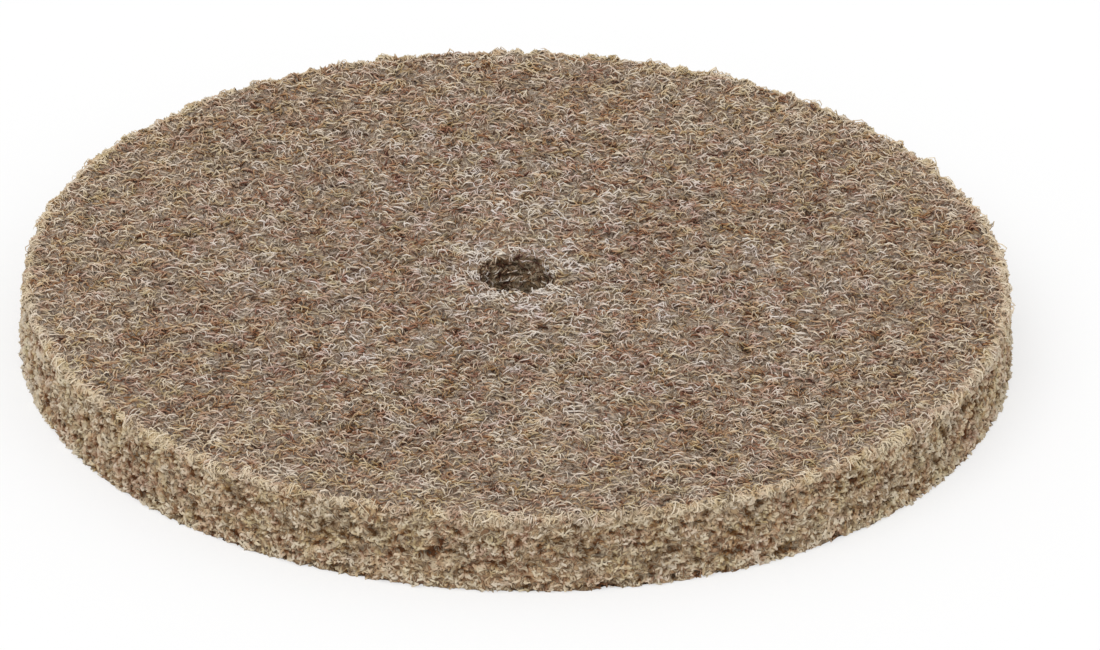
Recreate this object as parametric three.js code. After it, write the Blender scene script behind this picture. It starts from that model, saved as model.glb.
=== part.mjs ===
// Non-woven abrasive disc: one compressed pad of crimped nylon fibre, bonded with resin and
// abrasive grain, then die-cut to a round outline with a plain arbor hole through the middle.
// It is one piece throughout: no core, no backing and no bush in the hole.
// Millimetres, +Z up. The origin is on the hole's axis, on the lower face.

import * as THREE from "three";

// Driving dimensions of the cut pad
const discDiameter = 75;
const discThickness = 6;
const boreDiameter = 6;

// How the springy web answers the cutting die
const rimEdgeRadius = 0.6; // the loose outer edge of each face rolls over
const boreEdgeRadius = 0.3; // the mouths of the hole roll less, held by web all round
const rimWander = 0.1; // the most that the cut rim strays from a true cylinder
const boreWander = 0.04; // the same for the wall of the hole

// The rim's unevenness is a sum of soft lobes. Each lobe row counts its bumps round the disc,
// leans by a number of radians between the two faces, and holds a share of the whole wander.
const wanderLobes = [
  { bumps: 2, lean: 0.4, phase: 0.7, share: 0.2 },
  { bumps: 5, lean: -1.1, phase: 2.1, share: 0.22 },
  { bumps: 17, lean: 1.9, phase: 4.4, share: 0.3 },
  { bumps: 26, lean: -2.7, phase: 1.3, share: 0.28 },
];

// Facets of the revolved section
const stepsRound = 192;
const rimRows = 7;
const edgeArcSteps = 2; // an arc gets twice this many facets

// The pad's finish: matted tan and brown fibre with almost no gloss
const webColour = 0x8e7a68;
const webRoughness = 0.9;

const rimRadius = discDiameter / 2;
const boreRadius = boreDiameter / 2;

// Section of the pad, once round anticlockwise: lower face, rim, upper face, wall of the hole.
// An arc draws the straight run up to its own start.
function padSection() {
  const right = 0;
  const up = Math.PI / 2;
  const left = Math.PI;
  const down = -Math.PI / 2;
  const rimArc = rimRadius - rimEdgeRadius;
  const boreArc = boreRadius + boreEdgeRadius;
  const rimHeight = discThickness - 2 * rimEdgeRadius;

  const section = new THREE.Path();
  section.moveTo(boreArc, 0);
  section.absarc(rimArc, rimEdgeRadius, rimEdgeRadius, down, right);
  for (let row = 1; row < rimRows; row++) {
    section.lineTo(rimRadius, rimEdgeRadius + (rimHeight * row) / rimRows);
  }
  section.absarc(rimArc, discThickness - rimEdgeRadius, rimEdgeRadius, right, up);
  section.absarc(boreArc, discThickness - boreEdgeRadius, boreEdgeRadius, up, left);
  section.absarc(boreArc, boreEdgeRadius, boreEdgeRadius, left, left + up);

  const points = section.getPoints(edgeArcSteps);
  points[points.length - 1].copy(points[0]);
  return points;
}

// Share of the wander at an angle round the disc and a height through it, from -1 to 1.
function wanderAt(angle, height) {
  const rise = height / discThickness;
  return wanderLobes.reduce(
    (sum, lobe) => sum + lobe.share * Math.sin(lobe.bumps * angle + lobe.lean * rise + lobe.phase),
    0,
  );
}

// Moves the two cut walls in and out. The flat faces only change outline, so they stay flat.
function fray(geometry) {
  const corners = geometry.getAttribute("position");
  const rimStart = rimRadius - 2 * rimEdgeRadius;
  for (let i = 0; i < corners.count; i++) {
    const x = corners.getX(i);
    const y = corners.getY(i);
    const radius = Math.hypot(x, y);
    const reach = radius > rimStart ? rimWander : boreWander;
    const moved = radius + reach * wanderAt(Math.atan2(y, x), corners.getZ(i));
    corners.setXY(i, (x * moved) / radius, (y * moved) / radius);
  }
  geometry.computeVertexNormals();
  return geometry;
}

// The whole pad: its section turned about the hole's axis, stood on Z, with its cut walls frayed.
function abrasivePad() {
  const turned = new THREE.LatheGeometry(padSection(), stepsRound);
  turned.rotateX(Math.PI / 2);
  const web = new THREE.MeshStandardMaterial({
    color: webColour,
    roughness: webRoughness,
    metalness: 0,
  });
  const pad = new THREE.Mesh(fray(turned), web);
  pad.name = "abrasive_pad";
  return pad;
}

const abrasiveDisc = new THREE.Group();
abrasiveDisc.name = "abrasive_disc";
abrasiveDisc.add(abrasivePad());

export default abrasiveDisc;
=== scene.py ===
import math

import bpy
import numpy as np
from mathutils import Matrix, Vector, noise


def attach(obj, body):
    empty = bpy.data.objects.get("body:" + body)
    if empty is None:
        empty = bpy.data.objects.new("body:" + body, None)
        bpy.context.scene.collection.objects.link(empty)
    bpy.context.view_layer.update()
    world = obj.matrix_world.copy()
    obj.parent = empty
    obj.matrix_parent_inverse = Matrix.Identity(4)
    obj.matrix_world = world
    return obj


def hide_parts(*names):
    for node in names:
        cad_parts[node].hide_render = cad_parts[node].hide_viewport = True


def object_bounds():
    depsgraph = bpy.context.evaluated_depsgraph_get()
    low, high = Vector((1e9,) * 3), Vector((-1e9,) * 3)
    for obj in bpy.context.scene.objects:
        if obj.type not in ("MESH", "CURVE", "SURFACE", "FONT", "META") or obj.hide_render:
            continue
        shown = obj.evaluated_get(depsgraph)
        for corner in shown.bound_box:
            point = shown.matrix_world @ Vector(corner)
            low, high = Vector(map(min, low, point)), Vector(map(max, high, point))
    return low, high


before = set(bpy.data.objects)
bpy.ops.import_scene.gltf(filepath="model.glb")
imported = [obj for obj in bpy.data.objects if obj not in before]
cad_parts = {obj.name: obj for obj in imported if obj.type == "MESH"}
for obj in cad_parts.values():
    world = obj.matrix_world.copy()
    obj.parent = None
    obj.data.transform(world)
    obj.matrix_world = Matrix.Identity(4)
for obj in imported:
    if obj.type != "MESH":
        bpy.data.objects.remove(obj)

cadLow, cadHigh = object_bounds()
mm = 0.001  # everything below is worked out in millimetres, and meshes are made in metres
tiny = 1e-9  # keeps a division safe

# The pad's sizes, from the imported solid
cadPoints = np.array([v.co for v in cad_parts["abrasive_pad"].data.vertices]) / mm
cadRadii = np.hypot(cadPoints[:, 0], cadPoints[:, 1])
thickness = cadPoints[:, 2].max()
boreRadius = cadRadii.min()
rimShare = 0.985  # points beyond this share of the largest radius belong to the rim
rimRadius = cadRadii[cadRadii > rimShare * cadRadii.max()].mean()
print("pad", round(rimRadius, 2), "mm radius,", round(thickness, 2), "thick, bore", round(boreRadius, 2))

# The section that the mat follows, once round: upper face outwards, rim, lower face, hole
section = {
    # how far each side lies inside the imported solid
    "sunkTop": 0.12, "sunkRim": 0.34, "sunkFoot": -0.03, "sunkLow": 0.0, "sunkBore": -0.02,
    "edgeRoll": 0.3, "footRoll": 0.12,  # radii of the rolled outer edges
    "lipRoll": 0.2,  # radius of the hole's lips
    "arcPoints": 9,
    "evenPoints": 4001,  # places along the section at which its surface is summed up
}


def sectionLoop(p):
    top, low = thickness - p["sunkTop"], p["sunkLow"]
    rim, foot = rimRadius - p["sunkRim"], rimRadius - p["sunkFoot"]
    lip = boreRadius + p["sunkBore"] + p["lipRoll"]
    corners = [  # middle of each arc, its radius, and its normal's first and last direction
        (rim - p["edgeRoll"], top - p["edgeRoll"], p["edgeRoll"], 90, 0),
        (foot - p["footRoll"], low + p["footRoll"], p["footRoll"], 0, -90),
        (lip, low + p["lipRoll"], p["lipRoll"], -90, -180),
        (lip, top - p["lipRoll"], p["lipRoll"], 180, 90),
    ]
    rows = [(lip, top, 0.0, 1.0)]
    for middle, height, radius, first, last in corners:
        for way in np.radians(np.linspace(first, last, p["arcPoints"])):
            rows.append((middle + radius * math.cos(way), height + radius * math.sin(way),
                         math.cos(way), math.sin(way)))
    rows = np.array(rows)
    steps = np.hypot(np.diff(rows[:, 0]), np.diff(rows[:, 1]))
    return np.concatenate([[0], np.cumsum(steps)]), rows


loopAt, loopRows = sectionLoop(section)
arcPoints = section["arcPoints"]
stretches = {  # where each side starts and ends along the section
    "top": (0, loopAt[1]),
    "edge": (loopAt[1], loopAt[arcPoints]),
    "rim": (loopAt[arcPoints], loopAt[arcPoints + 1]),
    "foot": (loopAt[arcPoints + 1], loopAt[2 * arcPoints]),
    "under": (loopAt[2 * arcPoints], loopAt[2 * arcPoints + 1]),
    "bore": (loopAt[2 * arcPoints + 1], loopAt[-1]),
}


loopColumns = {"radius": 0, "height": 1, "out": 2, "up": 3}  # out and up are the normal's two parts


def fromSection(along, what):
    return np.interp(np.mod(along, loopAt[-1]), loopAt, loopRows[:, loopColumns[what]])


def cutShare(along):  # 1 on the rim and in the hole, and 0 on the faces
    return np.abs(fromSection(along, "out"))


# Surface passed on the way along the section, so that strands can be strewn evenly
evenAt = np.linspace(0, loopAt[-1], section["evenPoints"])
areaAt = np.concatenate([[0], np.cumsum(fromSection((evenAt[1:] + evenAt[:-1]) / 2, "radius"))])


def onPad(along, angle, lift):
    radius = fromSection(along, "radius") + fromSection(along, "out") * lift
    height = fromSection(along, "height") + fromSection(along, "up") * lift
    return np.stack([radius * np.cos(angle), radius * np.sin(angle), height], -1)


def normalOn(along, angle):
    out = fromSection(along, "out")
    return np.stack([out * np.cos(angle), out * np.sin(angle), fromSection(along, "up")], -1)


# Lumps and pits of the mat
relief = {
    "patterns": {  # size of each pattern's cells, and a shift that keeps it apart from the others
        "lump": (1.5, 3.7), "tuft": (0.85, 41.3), "pit": (0.95, 77.1), "knot": (0.54, 19.7),
        "bunch": (1.8, 53.9), "edge": (1.05, 91.3), "spot": (0.85, 7.7), "ring": (2.6, 63.1),
    },
    "layering": 1.9,  # heights are squeezed, so that the cut rim shows the web's layers
    "lumpRise": 0.12, "tuftRise": 0.10,
    "pitDepth": 0.25, "pitStart": 0.02, "pitSpan": 0.45,
    "knotRise": 0.25, "bunchRise": 0.11,  # knots of cut fibre, and bunches of them
    "edgeCalm": 0.4,  # knots are smaller at the upper edge
    "footLoose": 0.5, "footReach": 0.7,  # and larger at the lower one
    "edgeRise": 0.33, "edgeReach": 0.42,  # tufts along the upper edge
    "edgeBase": 0.12, "edgeGain": 2.2, "edgeLeast": -0.3,  # share of that rise, from its pattern
    "spotBase": 0.06, "spotGain": 2.9, "spotLeast": -0.4,  # bleached spots there, in the same way
}


def field(points, pattern, p=relief):
    cell, shift = p["patterns"][pattern]
    scaled = points * (1, 1, p["layering"]) / cell + shift
    flat = [noise.noise(place) for place in scaled.reshape(-1, 3).tolist()]
    return np.array(flat).reshape(points.shape[:-1])


def edgeNearness(along, reach):
    return np.exp(-((along - sum(stretches["edge"]) / 2) / reach) ** 2)


def footNearness(along, reach):
    return np.exp(-((along - stretches["rim"][1]) / reach) ** 2)


def lumps(points, p=relief):
    return p["lumpRise"] * field(points, "lump") + p["tuftRise"] * field(points, "tuft")


def pits(points, p=relief):
    depth = np.clip((field(points, "pit") - p["pitStart"]) / p["pitSpan"], 0, 1)
    return p["pitDepth"] * depth * depth


def knots(points, along, p=relief):
    rise = p["knotRise"] * field(points, "knot") + p["bunchRise"] * field(points, "bunch")
    calm = p["edgeCalm"] * edgeNearness(along, p["edgeReach"])
    loose = p["footLoose"] * footNearness(along, p["footReach"])
    return rise * (1 - calm + loose) * cutShare(along)


def tufts(points, along, p=relief):
    share = np.clip(p["edgeBase"] + p["edgeGain"] * field(points, "edge"), p["edgeLeast"], 1)
    return p["edgeRise"] * (share * edgeNearness(along, p["edgeReach"]))


def bleach(points, along, p=relief):
    share = np.clip(p["spotBase"] + p["spotGain"] * field(points, "spot"), p["spotLeast"], 1)
    return share * edgeNearness(along, p["edgeReach"])


def makePiece(name, points, triangles, finish, notes=None, cells=None, facing=None):
    mesh = bpy.data.meshes.new(name)
    mesh.vertices.add(len(points))
    mesh.vertices.foreach_set("co", (points * mm).ravel())
    mesh.loops.add(triangles.size)
    mesh.loops.foreach_set("vertex_index", triangles.ravel())
    mesh.polygons.add(len(triangles))
    mesh.polygons.foreach_set("loop_start", np.arange(0, triangles.size, 3))
    mesh.polygons.foreach_set("use_smooth", np.ones(len(triangles), bool))
    mesh.update(calc_edges=True)
    for note, values in (notes or {}).items():
        mesh.attributes.new(note, "FLOAT", "POINT").data.foreach_set("value", values.astype(np.float32))
    if cells is not None:
        mesh.uv_layers.new(name="OFBake").data.foreach_set("uv", cells.ravel())
    if facing is not None:
        mesh.normals_split_custom_set_from_vertices(facing)
    mesh.materials.append(finish)
    piece = bpy.data.objects.new(name, mesh)
    bpy.context.scene.collection.objects.link(piece)
    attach(piece, "root")
    print(name, len(triangles), "triangles")
    return piece


# Shader sockets that add up in Python
class Wire:
    def __init__(self, tree, socket=None):
        self.tree, self.socket = tree, socket

    def add(self, kind, settings=None, inputs=None, out=0):
        node = self.tree.nodes.new(kind)
        for key, value in (settings or {}).items():
            if key == "stops":
                ramp = node.color_ramp.elements
                while len(ramp) < len(value):
                    ramp.new(1.0)
                for stop, (place, colour) in zip(ramp, value):
                    stop.position, stop.color = place, (*colour, 1)
            else:
                setattr(node, key, value)
        for key, value in (inputs or {}).items():
            if isinstance(value, Wire):
                self.tree.links.new(value.socket, node.inputs[key])
            else:
                node.inputs[key].default_value = value
        return Wire(self.tree, node.outputs[out] if len(node.outputs) else None)

    def maths(self, operation, first, second=0.0, clamp=False):
        return self.add("ShaderNodeMath", {"operation": operation, "use_clamp": clamp}, {0: first, 1: second})

    def __add__(self, other):
        return self.maths("ADD", self, other)

    def __radd__(self, other):
        return self.maths("ADD", other, self)

    def __sub__(self, other):
        return self.maths("SUBTRACT", self, other)

    def __rsub__(self, other):
        return self.maths("SUBTRACT", other, self)

    def __mul__(self, other):
        return self.maths("MULTIPLY", self, other)

    def __rmul__(self, other):
        return self.maths("MULTIPLY", other, self)

    def __abs__(self):
        return self.maths("ABSOLUTE", self)

    def clamp(self):
        return self.maths("ADD", self, 0.0, clamp=True)

    def moved(self, place, shift):
        return self.add("ShaderNodeVectorMath", {"operation": "ADD"}, {0: place, 1: shift})

    def note(self, name):
        return self.add("ShaderNodeAttribute", {"attribute_name": name}, out="Fac")

    def noise(self, place, scale, detail=2.0, rough=0.5, twist=0.0):
        inputs = {"Vector": place, "Scale": scale, "Detail": detail, "Roughness": rough, "Distortion": twist}
        return self.add("ShaderNodeTexNoise", {}, inputs)

    def ramp(self, factor, stops):
        return self.add("ShaderNodeValToRGB", {"stops": stops}, {0: factor})

    def mix(self, first, second, factor, blend="MIX"):
        settings = {"data_type": "RGBA", "blend_type": blend, "clamp_factor": True}
        return self.add("ShaderNodeMix", settings, {0: factor, 6: first, 7: second}, out=2)


def tint(code):
    parts = [int(code[i:i + 2], 16) / 255 for i in (0, 2, 4)]
    return tuple(c / 12.92 if c <= 0.04045 else ((c + 0.055) / 1.055) ** 2.4 for c in parts)


def newFinish(name):
    finish = bpy.data.materials.new(name)
    finish.use_nodes = True
    finish.node_tree.nodes.clear()
    return finish, Wire(finish.node_tree)


def setSurface(w, colour, normal, roughness, specular):
    inputs = {"Base Color": colour, "Roughness": roughness, "Specular IOR Level": specular}
    if normal is not None:
        inputs["Normal"] = normal
    shader = w.add("ShaderNodeBsdfPrincipled", {}, inputs)
    w.add("ShaderNodeOutputMaterial", {}, {"Surface": shader})


# Dyes that run through the web in patches, from rust through sand and straw to slate
dyes = {
    "stops": [(0.0, (0.93, 0.65, 0.55)), (0.2, (0.96, 0.71, 0.60)), (0.4, (0.97, 0.79, 0.67)),
              (0.58, (0.99, 0.90, 0.71)), (0.76, (0.93, 0.91, 0.78)), (1.0, (0.85, 0.88, 0.85))],
    "patchScale": 650, "patchReach": 3.6,
    "driftScale": 200, "driftReach": 1.0,
    "dyeShift": (0.3, 0.7, 0.2),
    # a second tint, from straw to slate, that pale strands show too
    "tinge": [(0.0, (1.0, 0.97, 0.73)), (1.0, (0.985, 1.0, 1.21))],
    "tingeScale": 480, "tingeReach": 3.4, "ownTinge": 0.4,
    "tingeShift": (0.9, 0.1, 0.6),
}


def dyeAt(w, place, own, p=dyes):
    moved = w.moved(place, p["dyeShift"])
    patch = (w.noise(moved, p["patchScale"], detail=2) - 0.5) * p["patchReach"]
    drift = (w.noise(moved, p["driftScale"], detail=1) - 0.5) * p["driftReach"]
    return w.ramp(own + patch + drift, p["stops"])


def tingeAt(w, place, own, p=dyes):
    patch = (w.noise(w.moved(place, p["tingeShift"]), p["tingeScale"], detail=3) - 0.5) * p["tingeReach"]
    return w.ramp(patch + own + 0.5, p["tinge"])


# Single strands: each has its own tone, from dark resin to bleached nylon, and its own dye
strandLook = {
    "mottleScale": 500, "driftScale": 130,
    "strawCalm": 0.3,  # share of its dye that a straw-coloured strand loses
}
faceLook = {
    **strandLook,
    "tones": [(0.0, tint("54382a")), (0.2, tint("8f715a")), (0.4, tint("b5a08b")), (0.6, tint("ccbcaa")),
              (0.8, tint("dccfc1")), (1.0, tint("eae0d5"))],
    "straw": (1.0, 0.94, 0.79, 1),  # tint of the strands towards the outer edge
    "mottle": 0.95, "drift": 0.42,  # how far the tone wanders over a millimetre or two, and over eight
    "dyeDepth": (1.45, 1.5), "tingeDepth": (1.15, 0.85),  # on a dark strand, and a pale one's loss
    "dyeFrom": 0.46, "ownDye": 0.14,  # middle of the dyes, and how far a strand strays from its patch
    "buriedShade": 0.4,  # how much darker a strand gets where it dives into the mat
    "roughness": 0.6, "specular": 0.3,
}
cutLook = {
    **strandLook,
    "tones": [(0.0, tint("5a3f26")), (0.2, tint("876e54")), (0.4, tint("ab977f")), (0.6, tint("c4b49b")),
              (0.8, tint("d3c4ad")), (1.0, tint("ddd1bc"))],
    "straw": (1.0, 0.951, 0.875, 1),
    "mottle": 0.4, "drift": 0.3,
    "dyeDepth": (0.9, 0.66), "tingeDepth": (0.75, 0.4), "dyeFrom": 0.5, "ownDye": 0.25,
    "buriedShade": 0.14,
    "roughness": 0.65, "specular": 0.15,
}
boreLook = {**faceLook, "dyeDepth": (0.55, 0.55), "mottle": 0.8}  # less dyed than the face


def strandFinish(name, p):
    finish, w = newFinish(name)
    place = w.add("ShaderNodeTexCoord", out="Object")
    tone, own, straw = (w.note(note) for note in ("strandTone", "strandDye", "strandStraw"))
    drift = (w.noise(place, p["driftScale"], detail=1) - 0.5) * p["drift"]
    tone = tone + drift + (w.noise(place, p["mottleScale"], detail=3) - 0.5) * p["mottle"]
    dyeDepth = (p["dyeDepth"][0] - tone * p["dyeDepth"][1]).clamp() * (1 - straw * p["strawCalm"])
    tingeDepth = (p["tingeDepth"][0] - tone * p["tingeDepth"][1]).clamp()
    dyed = dyeAt(w, place, (own - 0.5) * p["ownDye"] + p["dyeFrom"])
    tinged = tingeAt(w, place, (own - 0.5) * dyes["ownTinge"])
    colour = w.mix(w.ramp(tone, p["tones"]), dyed, dyeDepth, "MULTIPLY")
    colour = w.mix(colour, tinged, tingeDepth, "MULTIPLY")
    colour = w.mix(colour, p["straw"], straw, "MULTIPLY")
    setSurface(w, colour, None, p["roughness"], p["specular"])
    return finish


# The mat under the loose strands: resin-bound web with finer strands drawn over it
matLook = {
    "groundScale": 850, "grainScale": 1200, "grainRough": 0.6, "grainTwist": 0.6,
    "ground": [(0.32, tint("46362c")), (0.45, tint("806656")),
               (0.55, tint("987d6a")), (0.68, tint("a8907e"))],
    "threads": [  # scale, half width, colour and cover of each layer of fine strands, lowest first
        (900, 0.030, tint("987a62"), 0.8), (1100, 0.028, tint("a89070"), 0.7),
        (950, 0.026, tint("a88e7a"), 0.8), (1300, 0.030, tint("b49c84"), 0.8),
        (1050, 0.024, tint("b4a492"), 0.8), (1250, 0.024, tint("c8b8a6"), 0.8),
    ],
    "cut": [(0.32, tint("6a543e")), (0.44, tint("8e745a")),
            (0.56, tint("a89070")), (0.68, tint("bea88a"))],
    "cutThreads": [
        (1000, 0.034, tint("a88e6e"), 0.8), (1150, 0.030, tint("bca486"), 0.8),
        (1300, 0.030, tint("ccba9e"), 0.8),
    ],
    "cutDye": 0.5, "cutDyeDepth": 0.5,
    "threadShift": (0.31, 0.17, 0.53), "threadRough": 0.4, "threadTwist": 0.8,
    "threadLine": 1.8, "threadShadowReach": 2.8,  # reach of a thread and of the painted shadow beside it, in half widths
    # painted shadow: the dark band drawn beside each thread
    "gap": tint("4a382c"), "threadShadowCover": 0.5,
    # painted shade: small dark spots that stand in for the shaded gaps between strands
    "spots": [(0.42, tint("40301c")), (0.58, tint("302a2c"))],
    "spotScale": 2100, "spotFrom": 0.56, "spotGain": 9, "spotCover": 0.7, "spotCutLoss": 0.5,
    # painted shade in the hollows between knots and all over the hole
    "hollow": tint("382a20"), "hollowShadeCover": 0.85,
    # colour of the pale upper edge and its bleached spots: partly painted highlight where the edge catches
    # light, partly wear
    "pale": tint("d8c6aa"), "paleCover": 0.6,
    "groundRise": 0.5, "threadRise": 0.4, "threadStep": 0.1,  # shares of the bump
    "bumpStrength": 0.8, "bumpRise": 0.12 * mm, "roughness": 0.75, "specular": 0.25,
}


def drawThreads(w, place, colour, height, threads, p):
    for order, (scale, width, thread, cover) in enumerate(threads):
        right, back, up = p["threadShift"]
        moved = w.moved(place, (right * (order + 1), back * order, up * order))
        pattern = w.noise(moved, scale, detail=1.0, rough=p["threadRough"], twist=p["threadTwist"])
        away = abs(pattern - 0.5) * (1 / width)
        line = (p["threadLine"] - away).clamp()
        # painted shadow beside each thread
        beside = ((p["threadShadowReach"] - away).clamp() - line).clamp()
        colour = w.mix(colour, p["gap"] + (1,), beside * p["threadShadowCover"])
        colour = w.mix(colour, thread + (1,), line * cover)
        height = height + line * (p["threadRise"] + p["threadStep"] * order)
    return colour, height


def matFinish(p=matLook):
    finish, w = newFinish("matted_web")
    place = w.add("ShaderNodeTexCoord", out="Object")
    cut, pale, hollow = (w.note(note) for note in ("cutSide", "paleEdge", "hollow"))
    ground = w.noise(place, p["groundScale"], detail=3, rough=p["grainRough"])
    colour = w.mix(w.ramp(ground, p["ground"]), dyeAt(w, place, ground), 1.0, "MULTIPLY")
    colour, height = drawThreads(w, place, colour, ground * p["groundRise"], p["threads"], p)
    grain = w.noise(place, p["grainScale"], detail=3, rough=p["grainRough"], twist=p["grainTwist"])
    cutDyed = dyeAt(w, place, p["cutDye"])
    cutColour = w.mix(w.ramp(grain, p["cut"]), cutDyed, p["cutDyeDepth"], "MULTIPLY")
    cutColour, cutHeight = drawThreads(w, place, cutColour, grain * p["groundRise"], p["cutThreads"], p)
    colour = w.mix(colour, cutColour, cut)
    height = height + (cutHeight - height) * cut
    colour = w.mix(colour, p["pale"] + (1,), pale * p["paleCover"])
    # painted shade in hollows and down the hole
    colour = w.mix(colour, p["hollow"] + (1,), hollow * p["hollowShadeCover"])
    # painted shade: dark spots for the shaded gaps, fewer on the pale edge and the cut sides
    spot = ((w.noise(place, p["spotScale"], detail=2) - p["spotFrom"]) * p["spotGain"]).clamp()
    spot = spot * (1 - pale) * (1 - cut * p["spotCutLoss"]) * p["spotCover"]
    colour = w.mix(colour, w.ramp(grain, p["spots"]), spot)
    bump = {"Strength": p["bumpStrength"], "Distance": p["bumpRise"], "Height": height}
    setSurface(w, colour, w.add("ShaderNodeBump", {}, bump), p["roughness"], p["specular"])
    return finish


# Matted body: rings of points round the axis, stitched together and pushed in and out
body = {
    "spacing": {"top": 0.45, "edge": 0.24, "rim": 0.25, "under": 0.8, "bore": 0.26},
    "rowShare": 0.87,  # rows lie closer than the points in a row, so that triangles are even
    "fewestRows": 2, "fewestColumns": 12,
    "paleReach": 0.4, "pale": 0.2,  # pale band along the upper edge, partly painted highlight where the edge catches light and partly wear
    "pitCutLoss": 0.5,  # share of its depth that a pit lacks on a cut side
    "hollowShadeGain": 4, "boreShade": 0.25,  # painted shade: how dark hollows are painted per millimetre, and the hole all over
}


def bodyRings(p):
    rings = []
    spacings = {**p["spacing"], "foot": p["spacing"]["edge"]}
    for side, (start, end) in stretches.items():
        gap = spacings[side]
        rows = max(p["fewestRows"], round((end - start) / (gap * p["rowShare"])))
        for along in np.linspace(start, end, rows, endpoint=False):
            columns = round(2 * math.pi * float(fromSection(along, "radius")) / gap)
            stagger = 0.5 * (len(rings) % 2)  # every other ring is turned by half a step
            rings.append((along, max(p["fewestColumns"], columns), stagger, side))
    return rings


def stitch(first, count, phase, other, otherCount, otherPhase):
    ownTurns = (np.arange(count) + 0.5 + phase) / count
    otherTurns = (np.arange(otherCount) + 0.5 + otherPhase) / otherCount
    meet = np.searchsorted(otherTurns, ownTurns) % otherCount
    back = np.searchsorted(ownTurns, otherTurns, side="right") % count
    own, far = np.arange(count), np.arange(otherCount)
    up = np.stack([first + own, other + meet, first + (own + 1) % count], -1)
    down = np.stack([first + back, other + far, other + (far + 1) % otherCount], -1)
    return np.concatenate([up, down])


# Flat map of the body: both faces as discs, the rim in four strips and the hole in one
bodyMap = {
    "top": (0.28, 0.715, 0.275), "under": (0.775, 0.79, 0.2),  # middle and half width
    "strips": 4, "stripFrom": 0.005, "stripGap": 0.02, "stripStep": 0.105, "stripHeight": 0.095,
    "bore": (0.575, 0.45, 0.39, 0.1),  # corner, width and height
}


def bodyCells(side, along, angle, p=bodyMap):
    turn = angle / (2 * math.pi)
    turn = turn + np.round(turn[:, :1] - turn)
    turn = turn - np.floor(turn.mean(1, keepdims=True))
    if side in ("top", "under"):
        middle, height, half = p[side]
        reach = half * fromSection(along, "radius") / rimRadius
        way = 1 if side == "top" else -1  # the lower face is seen from below
        return np.stack([middle + way * reach * np.cos(angle), height + reach * np.sin(angle)], -1)
    if side == "bore":
        left, low, width, height = p["bore"]
        start, end = stretches["bore"]
        across = np.where(along < start, loopAt[-1], along) - start
        return np.stack([left + width * (1 - turn), low + height * across / (end - start)], -1)
    start, end = stretches["edge"][0], stretches["foot"][1]
    strip = np.clip(np.floor(p["strips"] * turn.mean(1, keepdims=True)), 0, p["strips"] - 1)
    across = p["stripGap"] + (1 - 2 * p["stripGap"]) * (p["strips"] * turn - strip)
    rise = p["stripHeight"] * (end - along) / (end - start)
    return np.stack([across, p["stripFrom"] + strip * p["stripStep"] + rise], -1)


def matBody(p=body):
    rings = bodyRings(p)
    starts = np.concatenate([[0], np.cumsum([columns for _, columns, _, _ in rings])])
    along = np.concatenate([np.full(columns, at) for at, columns, _, _ in rings])
    angle = np.concatenate([(np.arange(columns) + phase) * 2 * math.pi / columns
                            for _, columns, phase, _ in rings])
    flat = onPad(along, angle, 0.0)
    cut, knot = cutShare(along), knots(flat, along)
    rise = lumps(flat) + knot + tufts(flat, along) - pits(flat) * (1 - p["pitCutLoss"] * cut)
    points = onPad(along, angle, rise)
    points[:, 2] = np.maximum(points[:, 2], 0.0)  # nothing reaches below the bench
    # pale upper edge: partly painted highlight, partly wear, with bleached spots
    pale = p["pale"] * edgeNearness(along, p["paleReach"]) + bleach(flat, along)
    inBore = along > stretches["bore"][0]
    notes = {
        "cutSide": cut, "paleEdge": np.clip(pale, 0, 1),
        "hollow": np.clip(-p["hollowShadeGain"] * knot, 0, 1) + p["boreShade"] * inBore,
    }
    triangles, cells = [], []
    for i, (_, columns, phase, side) in enumerate(rings):
        j = (i + 1) % len(rings)
        triangles.append(stitch(starts[i], columns, phase, starts[j], rings[j][1], rings[j][2]))
        cells.append(bodyCells(side, along[triangles[-1]], angle[triangles[-1]]))
    triangles, cells = np.concatenate(triangles), np.concatenate(cells)
    piece = makePiece("matted_body", points, triangles, matFinish(), notes, cells)
    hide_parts("abrasive_pad")


matBody()

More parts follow.
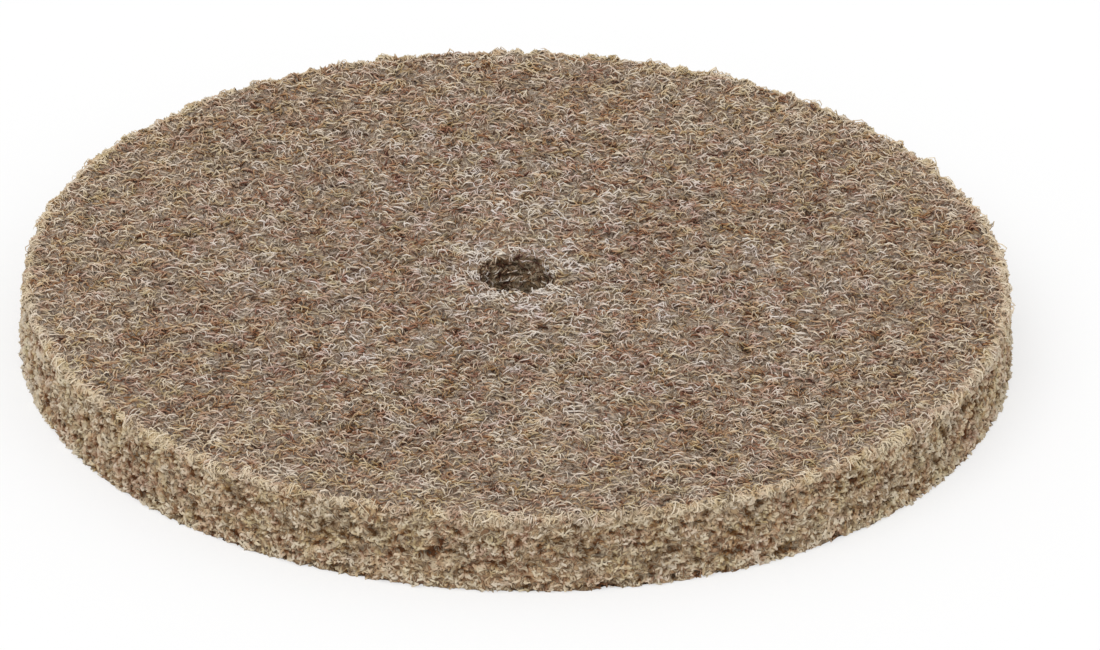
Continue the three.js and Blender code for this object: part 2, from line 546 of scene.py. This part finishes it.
# Loose fibres, a layer at a time: crimped strands that rise out of the mat, curl and dive in again.
# A layer strews count strands over a stretch of the section. Lift is how high they stand, tone how pale
# they are, sway how far they stray from the way round, and soft how far they shade like the wall.
strands = {
    "sides": 3,
    "layers": [
        {"name": "top_strands_deep", "from": "top", "to": "top", "count": 12400, "steps": 3, "step": 0.38,
         "thick": 0.155, "lift": (0.0, 0.14), "tone": (0.12, 0.8), "seed": 11},
        {"name": "top_strands_middle", "from": "top", "to": "edge", "count": 11000, "steps": 4, "step": 0.28,
         "thick": 0.13, "lift": (0.1, 0.3), "tone": (0.38, 1.0), "seed": 12},
        {"name": "top_strands_loose", "from": "top", "to": "edge", "count": 8300, "steps": 5, "step": 0.23,
         "thick": 0.105, "lift": (0.2, 0.42), "tone": (0.57, 1.02), "curl": 2.2, "wobble": 0.55, "seed": 13},
        {"name": "rim_curls", "from": "edge", "to": "foot", "count": 16200, "steps": 3, "step": 0.23,
         "thick": 0.205, "lift": (0.0, 0.14), "tone": (0.45, 0.575), "curl": 3.0, "free": 0.3, "sway": 1.0,
         "soft": 2.0, "seed": 14, "look": "cut"},
        {"name": "edge_strands", "from": "edge", "to": "edge", "count": 3800, "steps": 3, "step": 0.2,
         "thick": 0.16, "lift": (0.02, 0.2), "tone": (0.42, 0.92), "free": 0.4, "sway": 1.4, "scatter": 0.2,
         "seed": 17, "look": "cut"},
        {"name": "under_strands", "from": "under", "to": "under", "count": 1800, "steps": 4, "step": 0.45,
         "thick": 0.18, "lift": (0.02, 0.10), "tone": (0.1, 0.95), "seed": 15},
        # strands in the hole start from a darker tone than the face's: painted shade
        {"name": "bore_strands", "from": "bore", "to": "bore", "count": 700, "steps": 5, "step": 0.22,
         "thick": 0.14, "lift": (0.0, 0.14), "tone": (-0.1, 0.88), "sway": 0.4, "seed": 16, "look": "bore"},
    ],
    "curl": 1.8,  # radians of bend per millimetre, typical
    "bendLeast": 0.6, "bendSpread": 0.4,  # shares of that bend that every strand has, and that vary
    "curlKept": 0.75, "wobble": 0.7,  # share of the bend that stays from one step to the next, and is new
    "stretch": (0.55, 1.45), "thickSpread": (0.75, 1.25),  # shortest and longest, thinnest and thickest
    "sink": 0.14,  # depth at which a strand's ends are buried
    "ripple": 0.04, "ripples": 4.4,  # how far a strand dips on its way, and half waves along it
    "freeShare": 0.4,  # strands with one end standing free
    "freeArch": 0.75, "heldArch": 0.6,  # a smaller power rises sooner out of the mat
    "tipTaper": 0.3,  # share of its thickness that a strand loses at its tips
    "knotTone": 5.0,  # painted light and shade: how much paler a raised knot of cut fibre is painted than the sunken mat next to it, per millimetre
    "pitTone": 1.1, "pitSink": 0.5,  # strands are painted darker over a pit, as painted shade, per millimetre, and follow part of it
    # the upper edge is paler, partly as painted highlight where it catches light and partly from wear, and
    # more straw-coloured, most of all on its spots
    "edgeReach": 0.5, "edgePale": 0.22, "spotTone": 0.42, "edgeStraw": 0.35, "spotStraw": 0.6,
    "rimReach": 1.1, "rimPale": 0.08, "footReach": 0.9, "footPaintedLight": 0.28,  # cut fibre is painted paler near both edges: near the upper one partly painted highlight and partly wear, near the lower one painted light that lifts the shade by the bench
    "wornAndLitReach": 3.6, "wornAndLitPale": 0.07,  # the face next to the upper edge is painted paler too, more faintly: partly painted highlight, partly wear
    "strawReach": 14, "strawShare": 0.6,  # straw colour fades out from there over the face and down the rim
    "ringPale": 0.37, "ringReach": 2.8, "ringPatch": 2.0,  # the face is worn paler round the hole, in patches
    "lipFold": -0.12,  # strands on the upper face turn back where they reach the hole
    "cellShape": 2.7, "cellMargin": 0.08,  # a strand's cell in the flat map: length by width, and its border
}


def strandCourse(layer, rng, p):
    count, steps = layer["count"], layer["steps"]
    start, end = stretches[layer["from"]][0], stretches[layer["to"]][1]
    area = rng.uniform(np.interp(start, evenAt, areaAt), np.interp(end, evenAt, areaAt), count)
    along = np.interp(area, areaAt, evenAt) + rng.normal(0, layer.get("scatter", 0.0), count)
    angle = rng.uniform(0, 2 * math.pi, count)
    heading = rng.uniform(0, 2 * math.pi, count)
    if "sway" in layer:  # combed round the axis
        heading = math.pi / 2 * rng.choice([-1, 1], count) + rng.normal(0, layer["sway"], count)
    curl, wobble = layer.get("curl", p["curl"]), layer.get("wobble", p["wobble"])
    bend = rng.normal(0, 1, count)
    bend = np.sign(bend) * (p["bendLeast"] + p["bendSpread"] * np.abs(bend)) * curl
    stretch = rng.uniform(*p["stretch"], count) * layer["step"]
    alongs, angles = [], []
    for _ in range(steps + 1):
        alongs.append(along)
        angles.append(angle)
        along = along + np.cos(heading) * stretch
        angle = angle + np.sin(heading) * stretch / np.maximum(fromSection(along, "radius"), boreRadius)
        heading = heading + bend * stretch
        bend = p["curlKept"] * bend + rng.normal(0, curl * wobble, count)
    along, angle = np.stack(alongs, 1), np.stack(angles, 1)
    along -= along[:, steps // 2:steps // 2 + 1] - alongs[0][:, None]  # its middle lies at the drawn place
    return p["lipFold"] + np.abs(along - p["lipFold"]), angle


# A strand's tone from wear and from painted light and shade: bleached spots and worn patches round the hole,
# a paler upper edge that is partly painted highlight and partly wear, a foot painted paler as light, raised
# knots painted paler and strands over pits painted darker.
def wearAndPaintedLightTone(along, flat, knot, pit, spot, p):
    cut = cutShare(along)
    tone = p["edgePale"] * edgeNearness(along, p["edgeReach"]) + p["spotTone"] * spot
    # painted light and shade: raised knots paler, strands over pits darker
    tone = tone + p["knotTone"] * knot - p["pitTone"] * pit
    tone = tone + p["wornAndLitPale"] * edgeNearness(along, p["wornAndLitReach"]) * (1 - cut)
    # painted light near the foot, lifting the shade by the bench
    tone = tone + p["footPaintedLight"] * footNearness(along, p["footReach"])
    tone = tone + p["rimPale"] * edgeNearness(along, p["rimReach"]) * cut
    ring = np.exp(-((fromSection(along, "radius") - boreRadius) / p["ringReach"]) ** 2) * (1 - cut)
    return tone + p["ringPale"] * ring * (1 + p["ringPatch"] * field(flat, "ring"))


def strandPaths(layer, look, p):
    rng = np.random.default_rng(layer["seed"])
    count = layer["count"]
    along, angle = strandCourse(layer, rng, p)
    travel = np.linspace(0, 1, layer["steps"] + 1)[None, :]
    lift = rng.uniform(*layer["lift"], count)[:, None]
    phase = rng.uniform(0, 2 * math.pi, (count, 1))
    free = rng.random((count, 1)) < layer.get("free", p["freeShare"])
    hump = np.sin(math.pi * travel)
    arch = np.where(free, travel ** p["freeArch"], hump ** p["heldArch"])
    rise = -p["sink"] * (1 - arch) + lift * arch
    rise = rise + p["ripple"] * arch * np.sin(p["ripples"] * math.pi * travel + phase)
    flat = onPad(along, angle, 0.0)
    knot, spot = knots(flat, along), bleach(flat, along)
    pit = pits(flat) * (1 - cutShare(along))
    rise = rise + lumps(flat) + knot + tufts(flat, along) - p["pitSink"] * pit
    taper = np.where(free, 1 - p["tipTaper"] * travel, 1 - p["tipTaper"] + p["tipTaper"] * hump)
    thick = layer["thick"] * rng.uniform(*p["thickSpread"], (count, 1)) * taper
    tone = rng.uniform(*layer["tone"], count)[:, None] - look["buriedShade"] * (1 - arch)
    tone = tone + wearAndPaintedLightTone(along, flat, knot, pit, spot, p)
    dye = np.broadcast_to(rng.uniform(0, 1, count)[:, None], tone.shape)
    straw = p["strawShare"] * edgeNearness(along, p["strawReach"]) + p["spotStraw"] * spot
    straw = np.clip(straw + p["edgeStraw"] * edgeNearness(along, p["edgeReach"]), 0, 1)
    notes = {"strandTone": tone, "strandDye": dye, "strandStraw": straw}
    return onPad(along, angle, rise), normalOn(along, angle), thick, notes


def strandLayer(layer, look, finish, p=strands):
    paths, normals, thick, notes = strandPaths(layer, look, p)
    count, rows, sides = paths.shape[0], paths.shape[1], p["sides"]
    tangent = np.gradient(paths, axis=1)
    tangent /= np.linalg.norm(tangent, axis=-1, keepdims=True)
    across = np.cross(tangent, normals)
    across /= np.linalg.norm(across, axis=-1, keepdims=True) + tiny
    above = np.cross(across, tangent)
    # a strand is a row of rings between two pointed ends
    inner = rows - 2
    rowOf = np.concatenate([[0], np.repeat(np.arange(1, rows - 1), sides), [rows - 1]])
    turn = 2 * math.pi * np.arange(sides) / sides + math.pi / 2
    turn = np.concatenate([[0], np.tile(turn, inner), [0]])[:, None]
    width = thick * np.array([0] + [0.5] * inner + [0])
    spoke = np.cos(turn) * across[:, rowOf] + np.sin(turn) * above[:, rowOf]
    points = paths[:, rowOf] + spoke * width[:, rowOf, None]
    points[..., 2] = np.maximum(points[..., 2], 0.0)  # nothing reaches below the bench

    at = 1 + np.arange(inner * sides).reshape(inner, sides)
    nextAt = np.roll(at, -1, 1)
    first, last = np.zeros(sides, int), np.full(sides, len(rowOf) - 1)
    one = np.concatenate([
        np.stack([at[:-1], at[1:], nextAt[:-1]], -1).reshape(-1, 3),
        np.stack([nextAt[:-1], at[1:], nextAt[1:]], -1).reshape(-1, 3),
        np.stack([first, at[0], nextAt[0]], -1), np.stack([last, nextAt[-1], at[-1]], -1),
    ])
    triangles = (np.arange(count)[:, None, None] * len(rowOf) + one[None]).reshape(-1, 3)
    notes = {note: values[:, rowOf].ravel() for note, values in notes.items()}
    facing = None
    if "soft" in layer:  # felted strands catch the light more like the wall they lie on than like wires
        facing = spoke * (width[:, rowOf, None] > 0) + layer["soft"] * normals[:, rowOf]
        facing = (facing / np.linalg.norm(facing, axis=-1, keepdims=True)).reshape(-1, 3)
    cells = strandCells(count, rows, sides, p)
    return makePiece(layer["name"], points.reshape(-1, 3), triangles, finish, notes, cells, facing)


# Flat map of a layer: one cell for each strand, unrolled along its length
def strandCells(count, rows, sides, p):
    side = np.arange(sides)
    row = np.arange(1, rows - 2)[:, None]
    here, there = np.broadcast_arrays(row, side[None])
    walls = [[(here, there), (here + 1, there), (here, there + 1)],
             [(here, there + 1), (here + 1, there), (here + 1, there + 1)]]
    first, last = np.zeros(sides, int), np.full(sides, rows - 1)
    tips = [[(first, side + 0.5), (first + 1, side), (first + 1, side + 1)],
            [(last, side + 0.5), (last - 1, side + 1), (last - 1, side)]]
    corners = [np.stack([np.stack([a.ravel() / (rows - 1), b.ravel() / sides], -1) for a, b in face], 1)
               for face in walls + tips]
    one = p["cellMargin"] + (1 - 2 * p["cellMargin"]) * np.concatenate(corners)
    columns = math.ceil(math.sqrt(count / p["cellShape"]))
    places = np.stack([np.arange(count) % columns, np.arange(count) // columns], -1)
    size = np.array([1 / columns, 1 / math.ceil(count / columns)])
    return (places[:, None, None] + one[None]) * size


looks = {"face": faceLook, "cut": cutLook, "bore": boreLook}
finishes = {name: strandFinish(name + "_nylon", look) for name, look in looks.items()}
for layer in strands["layers"]:
    name = layer.get("look", "face")
    strandLayer(layer, looks[name], finishes[name])

# Floor, light and the photograph's view
studio = {
    "floorSide": 6.0, "floorColour": (0.93, 0.93, 0.93),
    "floorLift": 0.6,  # share of plain white that the camera sees in the floor
    "skyLight": 0.75,
    "floorDrop": 0.02,  # keeps the floor clear of the lower face
    # strength, then spread, azimuth and height in degrees
    "lamps": {"key": (1.15, 60, -35, 58), "fill": (0.24, 70, 80, 20)},
}
view = {
    "imageSize": (1100, 650),
    "focal": 8557,  # pixels
    "aim": (517.5, 272.4),  # pixel of the upper face's centre
    "elevation": 28.3, "roll": 1.165,
    "distance": 17.29,  # from the upper face's centre, in disc radii
    "sensorWidth": 36.0, "clip": (0.01, 20),
}


def plainRays(w):
    camera, glossy, through = (w.add("ShaderNodeLightPath", out=f"Is {kind} Ray")
                               for kind in ("Camera", "Glossy", "Transmission"))
    return (camera + glossy + through).clamp()


def makeFloor(p):
    half = p["floorSide"] / 2
    mesh = bpy.data.meshes.new("floor")
    corners = [(-half, -half, 0), (half, -half, 0), (half, half, 0), (-half, half, 0)]
    mesh.from_pydata(corners, [], [(0, 1, 2, 3)])
    finish, w = newFinish("pale_floor")
    diffuse = w.add("ShaderNodeBsdfDiffuse", {}, {"Color": p["floorColour"] + (1,)})
    white = w.add("ShaderNodeEmission", {}, {"Color": (1, 1, 1, 1), "Strength": 1.0})
    seen = plainRays(w)
    surface = w.add("ShaderNodeMixShader", {}, {0: seen * p["floorLift"], 1: diffuse, 2: white})
    w.add("ShaderNodeOutputMaterial", {}, {"Surface": surface})
    mesh.materials.append(finish)
    floor = bpy.data.objects.new("floor", mesh)
    floor.location.z = cadLow.z - p["floorDrop"] * mm
    bpy.context.scene.collection.objects.link(floor)


def makeLight(p):
    world = bpy.data.worlds.new("studio")
    bpy.context.scene.world = world
    world.use_nodes = True
    world.node_tree.nodes.clear()
    w = Wire(world.node_tree)
    seen = plainRays(w)
    strength = p["skyLight"] + seen * (1 - p["skyLight"])
    sky = w.add("ShaderNodeBackground", {}, {"Color": (1, 1, 1, 1), "Strength": strength})
    w.add("ShaderNodeOutputWorld", {}, {"Surface": sky})
    for name, (energy, *angles) in p["lamps"].items():
        spread, azimuth, height = (math.radians(a) for a in angles)
        sun = bpy.data.lights.new(name, "SUN")
        sun.energy, sun.angle = energy, spread
        lamp = bpy.data.objects.new(name, sun)
        level = math.cos(height)
        towards = Vector((math.sin(azimuth) * level, -math.cos(azimuth) * level, math.sin(height)))
        lamp.rotation_euler = towards.to_track_quat("Z", "Y").to_euler()
        bpy.context.scene.collection.objects.link(lamp)


def makeCamera(p):
    lens = bpy.data.cameras.new("photo_view")
    width, height = p["imageSize"]
    lens.sensor_width = p["sensorWidth"]
    lens.lens = p["focal"] / width * lens.sensor_width
    rise, roll = math.radians(p["elevation"]), math.radians(p["roll"])
    back = Vector((0, -math.cos(rise), math.sin(rise)))
    level, upright = Vector((1, 0, 0)), Vector((0, math.sin(rise), math.cos(rise)))
    right = level * math.cos(roll) + upright * math.sin(roll)
    up = upright * math.cos(roll) - level * math.sin(roll)
    centre = Vector((0, 0, thickness * mm))
    place = centre + back * (p["distance"] * rimRadius * mm)
    # turned a little, so that the upper face's centre falls on its own pixel
    offRight, offUp = (p["aim"][0] - width / 2) / p["focal"], (height / 2 - p["aim"][1]) / p["focal"]
    backward = (back + right * offRight + up * offUp).normalized()
    right = up.cross(backward).normalized()
    up = backward.cross(right)
    camera = bpy.data.objects.new("photo_view", lens)
    camera.matrix_world = Matrix.Translation(place) @ Matrix((right, up, backward)).transposed().to_4x4()
    lens.clip_start, lens.clip_end = p["clip"]
    bpy.context.scene.collection.objects.link(camera)
    bpy.context.scene.camera = camera


makeFloor(studio)
makeLight(studio)
makeCamera(view)
bpy.context.scene.view_settings.view_transform = "Standard"
print("studio ready")
